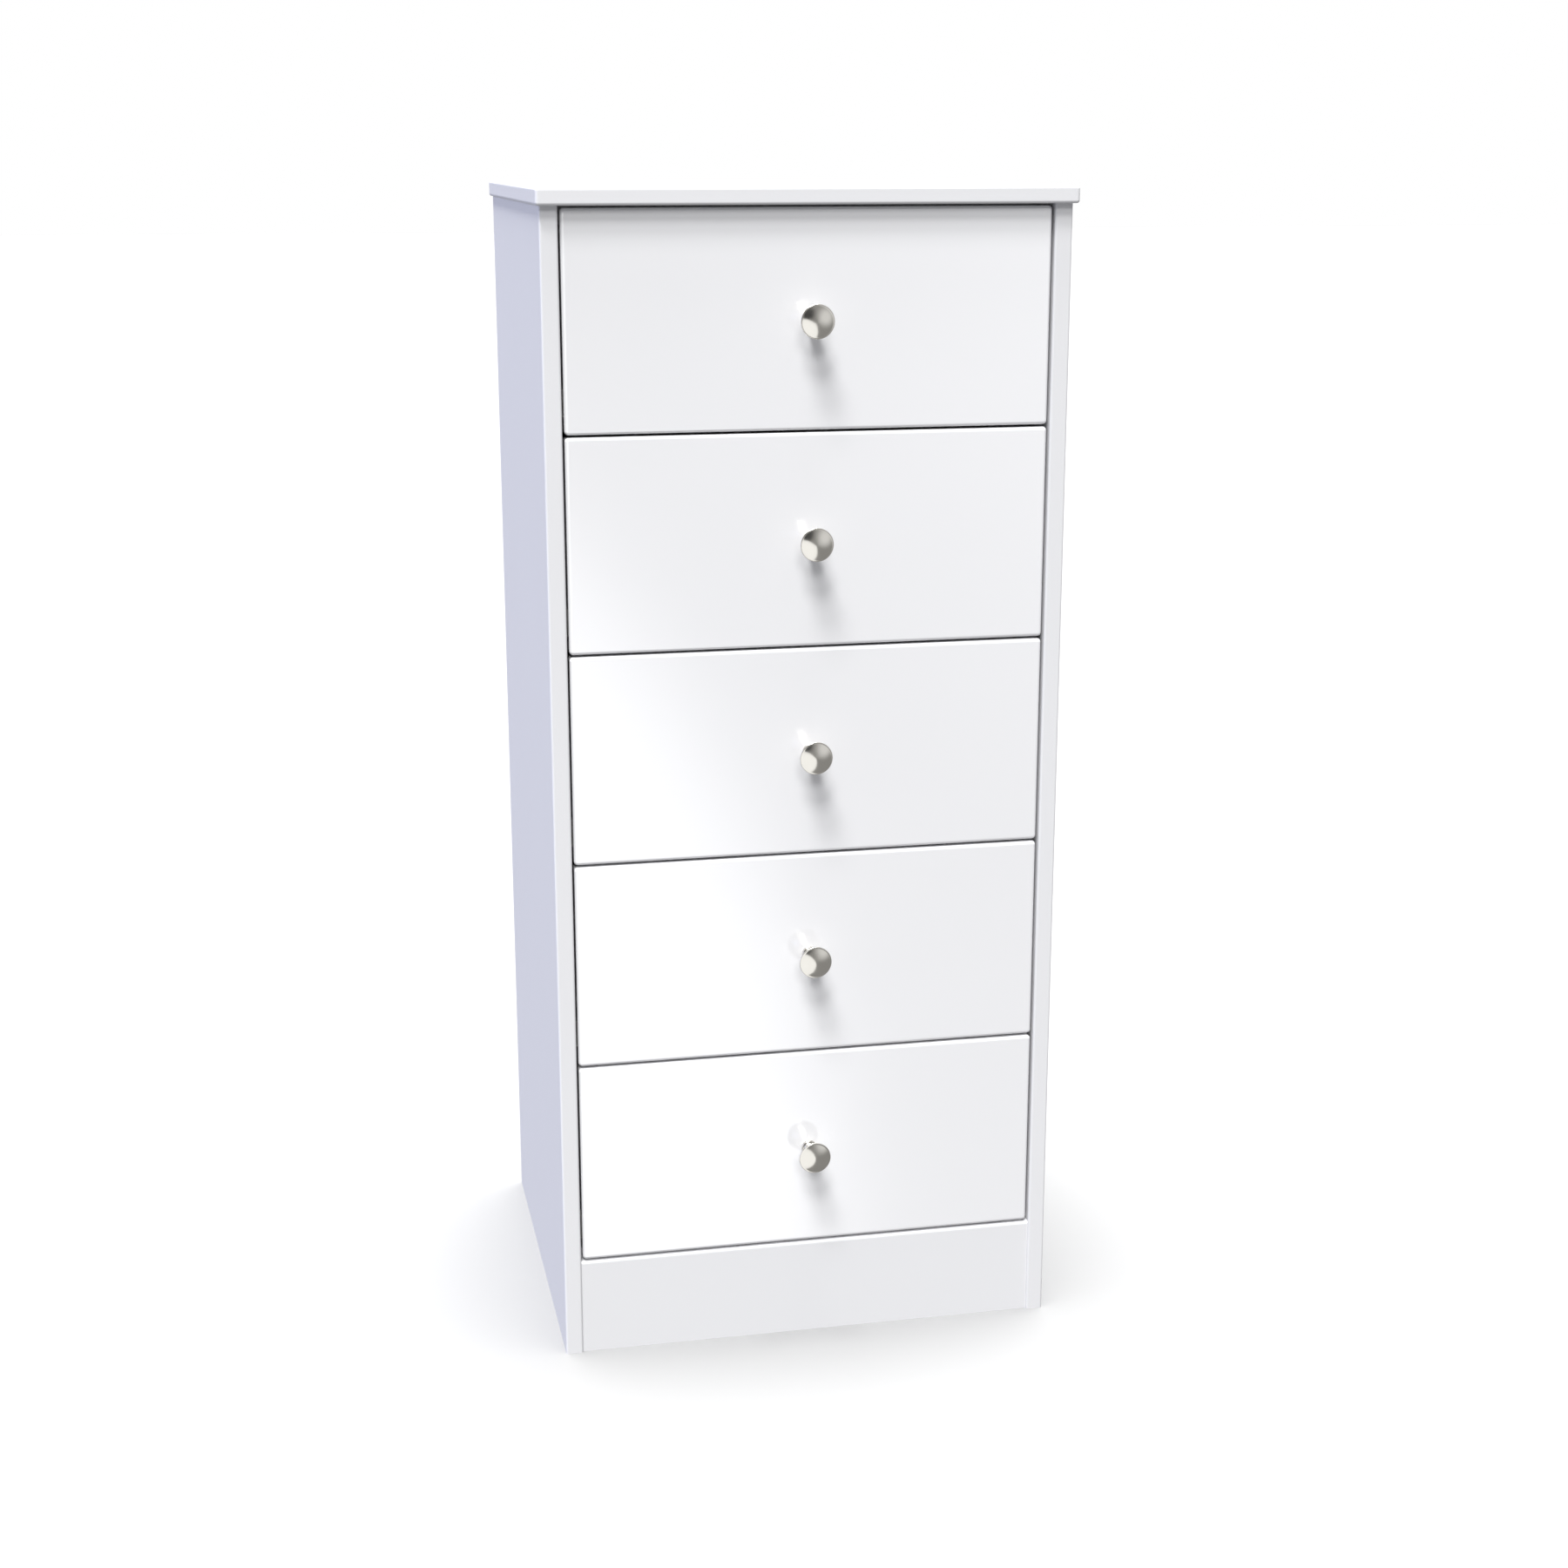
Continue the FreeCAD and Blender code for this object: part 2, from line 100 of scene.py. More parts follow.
class ChestHardware(bpy.types.PropertyGroup):
    rim_round: length("Rim rounding", 0.6, "Rounding of the knob's thin rim")
    ring_deep: length("Ring depth", 0.5, "Depth of the ring turned into the knob's flange")
    fold_round: length("Fold rounding", 0.35, "Rounding along the runners' folds and edges")
    slot_long: length("Slot length", 14, "Length of the slots in the runners")
    slot_wide: length("Slot width", 4.6, "Width of the slots in the runners")
    screw_head: length("Screw head", 7, "Width of a small screw's head")
    pin_head: length("Pin head", 5, "Width of the head of a back panel pin")
    pin_pitch: length("Pin spacing", 120, "Distance between the back panel's pins")
    turning: bpy.props.IntProperty(
        name="Turning steps", description="Flats round a knob", min=24, max=192, default=96
    )


class ChestStage(bpy.types.PropertyGroup):
    lens: bpy.props.FloatProperty(
        name="Lens", description="Focal length on a 36 mm sensor, in mm", min=20, default=56.22
    )
    camera: bpy.props.FloatVectorProperty(
        name="Camera", description="Place of the camera", subtype="XYZ", unit="LENGTH", size=3,
        default=(-0.4683, -2.2954, 1.1101),
    )
    pan: bpy.props.FloatProperty(
        name="Pan", description="Camera turned to the right", unit="ROTATION", default=math.radians(11.9)
    )
    tilt: bpy.props.FloatProperty(
        name="Tilt", description="Camera tilted down", unit="ROTATION", default=math.radians(14.65)
    )
    floor: colour("Floor", "BDBDBD", "Pale studio floor")
    key: strength("Key", 2.38, "Strength of the light on the fronts")
    back: strength("Back", 2.6, "Strength of the light from behind")
    side: strength("Side", 1.76, "Strength of the cool light on the left")
    overhead: strength("Overhead", 3.25, "Strength of the light straight above")
    floor_light: strength("Floor light", 6.3, "Strength of the light on the floor")
    sky: strength("Sky", 0.35, "Strength of the light all round")
    softbox: strength("Softbox", 2.2, "Brightness of the softbox that gloss mirrors")


# Mesh tools


def add(operator, name, **options):
    """Adds a primitive with nothing else selected, and names it."""
    bpy.ops.object.select_all(action="DESELECT")
    operator(**options)
    made = bpy.context.active_object
    made.name = made.data.name = name
    return made


def select_only(*objects):
    bpy.ops.object.select_all(action="DESELECT")
    for item in objects:
        item.select_set(True)
    bpy.context.view_layer.objects.active = objects[0]


def select_corners(test):
    """In edit mode, selects the corners whose place passes the test."""
    bpy.ops.mesh.select_mode(type="VERT")
    bpy.ops.mesh.select_all(action="DESELECT")
    mesh = bpy.context.edit_object.data
    shape = bmesh.from_edit_mesh(mesh)
    for corner in shape.verts:
        corner.select_set(test(corner.co))
    shape.select_flush_mode()
    bmesh.update_edit_mesh(mesh)


def arc(start, end, degrees, count):
    """Points after start on an arc to end. It turns left by the angle, or right if that is negative."""
    first, last = complex(*start), complex(*end)
    angle = math.radians(degrees)
    centre = (first + last) / 2 + (last - first) * 0.5j / math.tan(angle / 2)
    turned = [centre + (first - centre) * complex(math.cos(a), math.sin(a))
              for a in (angle * step / count for step in range(1, count + 1))]
    return [(point.real, point.imag) for point in turned]


def turn(name, rings, steps):
    """A piece turned about Z from (radius, height) pairs in mm. An outline that comes back is a ring."""
    radius, height = (value * MM for value in rings[0])
    place = (0, 0, height)
    made = add(bpy.ops.mesh.primitive_circle_add, name, vertices=steps, radius=radius, location=place)
    closed = rings[0] == rings[-1]
    bpy.ops.object.mode_set(mode="EDIT")
    bpy.ops.mesh.select_all(action="SELECT")
    if not closed:
        bpy.ops.mesh.edge_face_add()
    for (old_radius, old_height), (radius, height) in zip(rings, rings[1:]):
        bpy.ops.mesh.extrude_region_move(TRANSFORM_OT_translate={"value": (0, 0, (height - old_height) * MM)})
        ratio = radius / old_radius
        bpy.ops.transform.resize(value=(ratio, ratio, 1), center_override=(0, 0, height * MM))
    bpy.ops.mesh.select_all(action="SELECT")
    bpy.ops.mesh.remove_doubles(threshold=1e-6)
    bpy.ops.mesh.normals_make_consistent(inside=False)
    bpy.ops.object.mode_set(mode="OBJECT")
    return made


def settle(made, turned=Matrix.Identity(4), place=(0, 0, 0)):
    """Turns and moves a piece, then puts its origin at the frame's."""
    made.matrix_world = Matrix.Translation(place) @ turned @ made.matrix_world
    select_only(made)
    bpy.ops.object.transform_apply(location=True, rotation=True, scale=True)
    return made


def smooth(made, degrees=35):
    select_only(made)
    bpy.ops.object.shade_smooth_by_angle(angle=math.radians(degrees))
    return made


def copy_of(made, name, turned=Matrix.Identity(4), place=(0, 0, 0)):
    """A copy with its own mesh, turned and moved into place."""
    twin = made.copy()
    twin.data = made.data.copy()
    twin.name = twin.data.name = name
    bpy.context.scene.collection.objects.link(twin)
    return settle(twin, turned, place)


def join(name, pieces):
    select_only(*pieces)
    bpy.ops.object.join()
    made = bpy.context.active_object
    made.name = made.data.name = name
    return made


def remove(made):
    bpy.data.objects.remove(made)


def apply_modifier(made, kind, **settings):
    select_only(made)
    modifier = made.modifiers.new(kind.title(), kind)
    for name, value in settings.items():
        setattr(modifier, name, value)
    bpy.ops.object.modifier_apply(modifier=modifier.name)
    return made


def cut(made, tool):
    apply_modifier(made, "BOOLEAN", operation="DIFFERENCE", solver="EXACT", object=tool)
    remove(tool)
    return made


def finish(made, body, slot, material, *replaced):
    """Gives a piece its finish and its body, and hides the nodes it stands for."""
    made.data.materials.clear()
    made.data.materials.append(material)
    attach(made, body)
    if replaced:
        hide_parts(*replaced)
    return made


def dress(part, material):
    """Gives a carried-over node its finish."""
    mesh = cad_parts[part].data
    mesh.materials.clear()
    mesh.materials.append(material)


def middle(part):
    low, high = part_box(part)
    return (Vector(low) + Vector(high)) / 2


# Finishes


def node(owner, kind, inputs=(), output=None, **settings):
    """Adds a node with its settings. An input is a value or another node's output. Returns its output."""
    tree = owner.node_tree
    made = tree.nodes.new(kind)
    for name, value in settings.items():
        setattr(made, name, value)
    for socket, value in dict(inputs).items():
        if isinstance(value, bpy.types.NodeSocket):
            tree.links.new(value, made.inputs[socket])
        else:
            made.inputs[socket].default_value = value
    return made.outputs[output] if output else next(way for way in made.outputs if way.enabled)


def new_finish(name, **constants):
    """A material with its shader's fixed values set, and the piece's own coordinates."""
    material = bpy.data.materials.new(name)
    material.use_nodes = True
    for socket, value in constants.items():
        material.node_tree.nodes["Principled BSDF"].inputs[socket.replace("_", " ")].default_value = value
    return material, node(material, "ShaderNodeTexCoord", output="Object")


def plug(material, **sources):
    """Links outputs to the inputs of the material's shader, and returns the material."""
    shader = material.node_tree.nodes["Principled BSDF"]
    for socket, source in sources.items():
        material.node_tree.links.new(source, shader.inputs[socket.replace("_", " ")])
    return material


def per_metre(millimetres):
    """The scale at which a pattern's features are this wide."""
    return 1000 / millimetres


def tone(base, factor=1.0):
    """A colour made lighter or darker, with the alpha that a node's socket wants."""
    return (*(part * factor for part in base), 1.0)


def satin_white_foil(white):
    # Lacquered foil pressed over fibreboard: even white, a clear satin sheen and a faint orange peel.
    material, place = new_finish("satin_white_foil", IOR=1.8, Coat_Weight=1.0, Coat_Roughness=0.1)
    cloud = node(material, "ShaderNodeTexNoise", {"Vector": place, "Scale": per_metre(160), "Detail": 2})
    base = node(material, "ShaderNodeMix", {"Factor": cloud, "A": tone(white, 0.985), "B": tone(white)},
                data_type="RGBA")
    wipe = node(material, "ShaderNodeTexNoise", {"Vector": place, "Scale": per_metre(70), "Detail": 3})
    rough = node(material, "ShaderNodeMapRange", {"Value": wipe, "To Min": 0.1, "To Max": 0.14})
    peel = node(material, "ShaderNodeTexNoise", {"Vector": place, "Scale": per_metre(6), "Detail": 1})
    bump = node(material, "ShaderNodeBump", {"Height": peel, "Strength": 0.5, "Distance": 0.03 * MM})
    return plug(material, Base_Color=base, Roughness=rough, Normal=bump)


def matt_white_foil(white):
    # The carcass boards' plain foil: the same white, with a wide soft sheen and a finer skin.
    material, place = new_finish("matt_white_foil", IOR=1.5)
    cloud = node(material, "ShaderNodeTexNoise", {"Vector": place, "Scale": per_metre(160), "Detail": 2})
    base = node(material, "ShaderNodeMix", {"Factor": cloud, "A": tone(white, 0.985), "B": tone(white)},
                data_type="RGBA")
    skin = node(material, "ShaderNodeTexNoise", {"Vector": place, "Scale": per_metre(1.5), "Detail": 2})
    rough = node(material, "ShaderNodeMapRange", {"Value": skin, "To Min": 0.5, "To Max": 0.6})
    bump = node(material, "ShaderNodeBump", {"Height": skin, "Strength": 0.4, "Distance": 0.02 * MM})
    return plug(material, Base_Color=base, Roughness=rough, Normal=bump)


def matt_paper_foil(white):
    # Printed paper foil on thin chipboard: matt, with the chips just showing through the skin.
    material, place = new_finish("matt_paper_foil", IOR=1.5)
    along = node(material, "ShaderNodeMapping", {"Vector": place, "Scale": (1, 0.1, 1)})
    fibre = node(material, "ShaderNodeTexNoise", {"Vector": along, "Scale": per_metre(2), "Detail": 2})
    base = node(material, "ShaderNodeMix", {"Factor": fibre, "A": tone(white, 0.95), "B": tone(white)},
                data_type="RGBA")
    chips = node(material, "ShaderNodeTexNoise", {"Vector": place, "Scale": per_metre(7), "Detail": 4})
    rough = node(material, "ShaderNodeMapRange", {"Value": chips, "To Min": 0.45, "To Max": 0.6})
    bump = node(material, "ShaderNodeBump", {"Height": chips, "Strength": 0.5, "Distance": 0.05 * MM})
    return plug(material, Base_Color=base, Roughness=rough, Normal=bump)


def hardboard(white, brown, axis, sign):
    # Pressed fibre sheet: lacquered smooth on its face, brown with the press screen's mesh on its back.
    material, place = new_finish(f"lacquered_hardboard_{axis}", IOR=1.48)
    facing = node(material, "ShaderNodeNewGeometry", output="Normal")
    facing = node(material, "ShaderNodeSeparateXYZ", {"Vector": facing}, output=axis)
    back = node(material, "ShaderNodeMath", {0: facing, 1: sign}, operation="MULTIPLY")
    back = node(material, "ShaderNodeMath", {0: back, 1: 0.5}, operation="GREATER_THAN")
    cloud = node(material, "ShaderNodeTexNoise", {"Vector": place, "Scale": per_metre(45), "Detail": 3})
    face = node(material, "ShaderNodeMix", {"Factor": cloud, "A": tone(white, 0.96), "B": tone(white)},
                data_type="RGBA")
    flecks = node(material, "ShaderNodeTexNoise", {"Vector": place, "Scale": per_metre(3), "Detail": 5})
    flecks = node(material, "ShaderNodeMapRange", {"Value": flecks, "From Min": 0.3, "From Max": 0.7})
    dark, light = tone(brown, 0.72), tone(brown, 1.12)
    fibre = node(material, "ShaderNodeMix", {"Factor": flecks, "A": dark, "B": light}, data_type="RGBA")
    worn = node(material, "ShaderNodeMix", {"Factor": cloud, "A": fibre, "B": tone(linear("E5E2DF"))},
                data_type="RGBA", blend_type="MULTIPLY")
    base = node(material, "ShaderNodeMix", {"Factor": back, "A": face, "B": worn}, data_type="RGBA")
    rough = node(material, "ShaderNodeMapRange", {"Value": back, "To Min": 0.38, "To Max": 0.85})
    # The screen's threads are 1 mm apart on the real sheet, drawn 3 mm apart so that they show.
    waves_at_scale_one = 20 / (2 * math.pi)
    threads = per_metre(3) / waves_at_scale_one
    across = node(material, "ShaderNodeTexWave", {"Vector": place, "Scale": threads}, bands_direction="X",
                  output="Fac")
    down = node(material, "ShaderNodeTexWave", {"Vector": place, "Scale": threads},
                bands_direction="Z" if axis == "Y" else "Y", output="Fac")
    screen = node(material, "ShaderNodeMath", {0: across, 1: down}, operation="MULTIPLY")
    screen = node(material, "ShaderNodeMath", {0: screen, 1: back}, operation="MULTIPLY")
    bump = node(material, "ShaderNodeBump", {"Height": screen, "Strength": 0.6, "Distance": 0.25 * MM})
    return plug(material, Base_Color=base, Roughness=rough, Normal=bump)


def satin_nickel(grey):
    # Nickel plated zinc casting: warm grey, its face polished to mirror the room, its stem left satin.
    material, place = new_finish("nickel_plating", Metallic=1.0)
    facing = node(material, "ShaderNodeNewGeometry", output="Normal")
    facing = node(material, "ShaderNodeSeparateXYZ", {"Vector": facing}, output="Y")
    stem = node(material, "ShaderNodeMapRange", {"Value": facing, "From Min": -0.9, "From Max": -0.6})
    cloud = node(material, "ShaderNodeTexNoise", {"Vector": place, "Scale": per_metre(9), "Detail": 2})
    face = node(material, "ShaderNodeMix", {"Factor": cloud, "A": tone(grey, 0.95), "B": tone(grey)},
                data_type="RGBA")
    base = node(material, "ShaderNodeMix", {"Factor": stem, "A": face, "B": tone(grey, 1.6)},
                data_type="RGBA")
    polish = node(material, "ShaderNodeMapRange", {"Value": cloud, "To Min": 0.1, "To Max": 0.15})
    rough = node(material, "ShaderNodeMix", {"Factor": stem, "A": polish, "B": 0.38})
    # The turning marks are 0.1 mm apart on the real knob, drawn 0.5 mm apart so that they show.
    along = node(material, "ShaderNodeMapping", {"Vector": place, "Scale": (0.08, 1, 0.08)})
    lines = node(material, "ShaderNodeTexNoise", {"Vector": along, "Scale": per_metre(0.5), "Detail": 3})
    bump = node(material, "ShaderNodeBump", {"Height": lines, "Strength": 0.3, "Distance": 0.01 * MM})
    return plug(material, Base_Color=base, Roughness=rough, Normal=bump)


def bright_zinc(grey):
    # Zinc plated steel: cool grey, finely crystalline, duller than nickel.
    material, place = new_finish("bright_zinc", Metallic=1.0)
    crystals = node(material, "ShaderNodeTexNoise", {"Vector": place, "Scale": per_metre(0.7), "Detail": 3})
    base = node(material, "ShaderNodeMix", {"Factor": crystals, "A": tone(grey, 0.8), "B": tone(grey)},
                data_type="RGBA")
    rough = node(material, "ShaderNodeMapRange", {"Value": crystals, "To Min": 0.24, "To Max": 0.42})
    bump = node(material, "ShaderNodeBump", {"Height": crystals, "Strength": 0.3, "Distance": 0.02 * MM})
    return plug(material, Base_Color=base, Roughness=rough, Normal=bump)


def epoxy_enamel(white):
    # Baked powder enamel on pressed steel: semi-gloss, with a fine pebbled skin.
    material, place = new_finish("epoxy_enamel", IOR=1.52)
    dust = node(material, "ShaderNodeTexNoise", {"Vector": place, "Scale": per_metre(22), "Detail": 4})
    base = node(material, "ShaderNodeMix", {"Factor": dust, "A": tone(white, 0.93), "B": tone(white)},
                data_type="RGBA")
    rough = node(material, "ShaderNodeMapRange", {"Value": dust, "To Min": 0.28, "To Max": 0.42})
    pebbles = node(material, "ShaderNodeTexNoise", {"Vector": place, "Scale": per_metre(1.2), "Detail": 1})
    bump = node(material, "ShaderNodeBump", {"Height": pebbles, "Strength": 0.5, "Distance": 0.03 * MM})
    return plug(material, Base_Color=base, Roughness=rough, Normal=bump)


def moulded_nylon(white):
    # Injection moulded nylon: milky and waxy, polished on its tread by rolling.
    material, place = new_finish(
        "moulded_nylon", IOR=1.53, Subsurface_Weight=0.15, Subsurface_Radius=(0.002, 0.002, 0.0016)
    )
    flow = node(material, "ShaderNodeTexNoise", {"Vector": place, "Scale": per_metre(4), "Detail": 2})
    base = node(material, "ShaderNodeMix", {"Factor": flow, "A": tone(white, 0.93), "B": tone(white)},
                data_type="RGBA")
    rough = node(material, "ShaderNodeMapRange", {"Value": flow, "To Min": 0.3, "To Max": 0.46})
    bump = node(material, "ShaderNodeBump", {"Height": flow, "Strength": 0.4, "Distance": 0.03 * MM})
    return plug(material, Base_Color=base, Roughness=rough, Normal=bump)


def turned_beech(tan):
    # Beech rod: pinkish tan with short dark flecks along its length.
    material, place = new_finish("turned_beech", IOR=1.45)
    flecks = node(material, "ShaderNodeTexNoise", {"Vector": place, "Scale": per_metre(1.2), "Detail": 4})
    base = node(material, "ShaderNodeMix", {"Factor": flecks, "A": tone(tan, 0.65), "B": tone(tan)},
                data_type="RGBA")
    rough = node(material, "ShaderNodeMapRange", {"Value": flecks, "To Min": 0.5, "To Max": 0.7})
    bump = node(material, "ShaderNodeBump", {"Height": flecks, "Strength": 0.4, "Distance": 0.05 * MM})
    return plug(material, Base_Color=base, Roughness=rough, Normal=bump)


def finishes():
    """The chest's finishes by name, made once."""
    if not MADE:
        tones = bpy.context.scene.chest_finishes
        MADE["front_foil"] = satin_white_foil(tones.foil)
        MADE["carcass_foil"] = matt_white_foil(tones.carcass)
        MADE["box_foil"] = matt_paper_foil(tones.box_board)
        MADE["back_board"] = hardboard(tones.lacquer, tones.fibre, "Y", 1)
        MADE["bottom_board"] = hardboard(tones.lacquer, tones.fibre, "Z", -1)
        MADE["nickel"] = satin_nickel(tones.nickel)
        MADE["zinc"] = bright_zinc(tones.zinc)
        MADE["enamel"] = epoxy_enamel(tones.enamel)
        MADE["nylon"] = moulded_nylon(tones.nylon)
        MADE["beech"] = turned_beech(tones.beech)
    return MADE


# Pieces


class CHEST_OT_carcass(bpy.types.Operator):
    """Give the carcass boards, the back panel and the dowels their finishes"""

    bl_idname = "chest.carcass"
    bl_label = "Carcass finishes"

    def execute(self, context):
        made = finishes()
        for board in ("top_panel", "left_side_panel", "right_side_panel", "plinth_board", "base_board",
                      "front_stretcher", "rear_stretcher"):
            dress(board, made["carcass_foil"])
        dress("back_panel", made["back_board"])
        dress("carcass_dowels", made["beech"])
        return {"FINISHED"}


class CHEST_OT_drawer_boxes(bpy.types.Operator):
    """Give the drawer fronts, sides, backs and bottoms their finishes"""

    bl_idname = "chest.drawer_boxes"
    bl_label = "Drawer finishes"

    def execute(self, context):
        made = finishes()
        for drawer in DRAWERS:
            dress(f"{drawer}_front", made["front_foil"])
            dress(f"{drawer}_bottom", made["bottom_board"])
            for board in ("left_side", "right_side", "back"):
                dress(f"{drawer}_{board}", made["box_foil"])
        return {"FINISHED"}


class CHEST_OT_knobs(bpy.types.Operator):
    """Turn the round knobs: ringed flange, trumpet neck, thin rim and slightly domed face"""

    bl_idname = "chest.knobs"
    bl_label = "Knobs"

    def execute(self, context):
        hardware = context.scene.chest_hardware
        low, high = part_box("drawer_1_knob")
        outer = (high[0] - low[0]) / 2 / MM
        tall = (high[1] - low[1]) / MM
        # Radii, then heights above the drawer's front, in mm.
        bore, flange, neck, face_middle = 2.05, 7.0, 4.5, 0.6
        bore_deep, flange_high, fillet_top, neck_start, dome = 12.0, 3.5, 5.8, 6.0, 2.0
        chamfer, shoulder, fillet = 0.3, 0.6, 1.1
        ring_start, ring_wide = 1.5, 0.8
        edge = hardware.rim_round / MM
        ring_turn = 2 * math.degrees(math.atan(hardware.ring_deep / MM / (ring_wide / 2)))
        rim = tall - dome
        foot = (neck + fillet, flange_high + 0.05)
        under_rim = (outer - edge, rim - 2 * edge)
        lip = (outer - edge - 0.35, rim - 0.04)
        rings = [(bore, bore_deep), (bore, 0), (flange - chamfer, 0), (flange, chamfer), (flange, ring_start)]
        rings += arc((flange, ring_start), (flange, ring_start + ring_wide), ring_turn, 5)
        rings += arc((flange, flange_high - shoulder), (flange - shoulder, flange_high), 90, 4)
        rings += [foot]
        rings += arc(foot, (neck, fillet_top), -60, 6)
        rings += arc((neck, neck_start), under_rim, -52, 24)
        rings += arc(under_rim, (outer - edge, rim), 178, 10)
        rings += [lip]
        rings += arc(lip, (face_middle, tall), 13.5, 14)
        pattern = smooth(turn("knob_pattern", rings, hardware.turning), 50)
        for drawer in DRAWERS:
            place = (0, high[1], middle(f"{drawer}_knob")[2])
            knob = copy_of(pattern, f"{drawer}_turned_knob", TO_FRONT, place)
            finish(knob, drawer, "satin_nickel", finishes()["nickel"], f"{drawer}_knob")
        remove(pattern)
        return {"FINISHED"}


def cross_cutter(size, deep, height):
    """Tapered cross that presses the recess of a screw head. Its mouth is at the height, in mm."""
    blade, taper, clear = size * 0.22, 0.6, 1.0
    centre = height - deep / 2
    arms = []
    for wide, long in ((blade, size), (size, blade)):
        arm = add(bpy.ops.mesh.primitive_cube_add, "arm", size=1, location=(0, 0, (centre + clear / 2) * MM),
                  scale=(wide * MM, long * MM, (deep + clear) * MM))
        settle(arm)
        bpy.ops.object.mode_set(mode="EDIT")
        select_corners(lambda corner: corner.z < centre * MM)
        bpy.ops.transform.resize(value=(taper, taper, 1), center_override=(0, 0, 0))
        bpy.ops.object.mode_set(mode="OBJECT")
        arms.append(arm)
    return arms


def screw(name, head, head_high, shank, shank_long, steps):
    """Round-headed screw with a cross recess, head up, its underside at height 0. Sizes in mm."""
    tip, tip_long = shank * 0.35, shank * 0.3
    rim = (head / 2, head_high * 0.3)
    rings = [(tip, -shank_long), (shank / 2, tip_long - shank_long), (shank / 2, 0), (head / 2, 0), rim]
    rings += arc(rim, (head * 0.12, head_high), 62, 6)
    made = turn(name, rings, steps)
    for arm in cross_cutter(head * 0.5, head_high * 0.8, head_high):
        cut(made, arm)
    return smooth(made, 40)


class CHEST_OT_knob_screws(bpy.types.Operator):
    """Make the screws that hold the knobs from inside the drawers"""

    bl_idname = "chest.knob_screws"
    bl_label = "Knob screws"

    def execute(self, context):
        low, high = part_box("drawer_1_knob_screw")
        head = (high[0] - low[0]) / MM
        back_of_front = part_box("drawer_1_front")[1][1]
        head_high = (high[1] - back_of_front) / MM
        shank_long = (back_of_front - low[1]) / MM
        pattern = screw("screw_pattern", head, head_high, shank=4.0, shank_long=shank_long, steps=40)
        for drawer in DRAWERS:
            place = (0, back_of_front, middle(f"{drawer}_knob_screw")[2])
            made = copy_of(pattern, f"{drawer}_cross_screw", TO_BACK, place)
            finish(made, drawer, "zinc_steel", finishes()["zinc"], f"{drawer}_knob_screw")
        remove(pattern)
        return {"FINISHED"}


def folded(name, path, low_y, high_y, thickness, rounding):
    """Sheet steel folded along Y. path holds the (x, z) points of the middle of its thickness."""
    long = high_y - low_y
    (x, z), middle_y = path[0], (low_y + high_y) / 2
    made = add(bpy.ops.mesh.primitive_plane_add, name, size=long, location=(x + long / 2, middle_y, z))
    settle(made)
    bpy.ops.object.mode_set(mode="EDIT")
    select_corners(lambda corner: corner.x > x + long / 2)
    bpy.ops.mesh.delete(type="VERT")
    bpy.ops.mesh.select_all(action="SELECT")
    for (old_x, old_z), (x, z) in zip(path, path[1:]):
        bpy.ops.mesh.extrude_region_move(TRANSFORM_OT_translate={"value": (x - old_x, 0, z - old_z)})
    bpy.ops.mesh.select_all(action="SELECT")
    bpy.ops.mesh.normals_make_consistent(inside=False)
    bpy.ops.object.mode_set(mode="OBJECT")
    apply_modifier(made, "SOLIDIFY", thickness=thickness, offset=0, use_even_offset=True)
    fold = math.radians(40)
    apply_modifier(made, "BEVEL", width=rounding, segments=2, limit_method="ANGLE", angle_limit=fold)
    return made


def slot_cutter(long, wide, place):
    """Round-ended bar along Y that punches a slot through a web that faces X."""
    reach, just_past_middle = 12 * MM, 0.01 * MM
    made = add(bpy.ops.mesh.primitive_cylinder_add, "slot", vertices=20, radius=wide / 2, depth=reach)
    bpy.ops.object.mode_set(mode="EDIT")
    select_corners(lambda corner: corner.y > just_past_middle)
    bpy.ops.transform.translate(value=(0, long - wide, 0))
    bpy.ops.object.mode_set(mode="OBJECT")
    return settle(made, TO_RIGHT, Vector(place) - Vector((0, (long - wide) / 2, 0)))


def rivet(foot, side):
    """Rivet along X that a roller turns on: a collar this high in mm, the pin, and the closed end."""
    collar, pin, end = 4.0, 2.5, foot + 6.2
    rings = [(collar, 0), (collar, foot), (pin, foot), (pin, end), (collar - 0.3, end), (collar, end + 0.3),
             (collar - 0.4, end + 0.8), (1.5, end + 0.8)]
    return smooth(settle(turn("rivet", rings, 28), TO_LEFT if side > 0 else TO_RIGHT), 40)


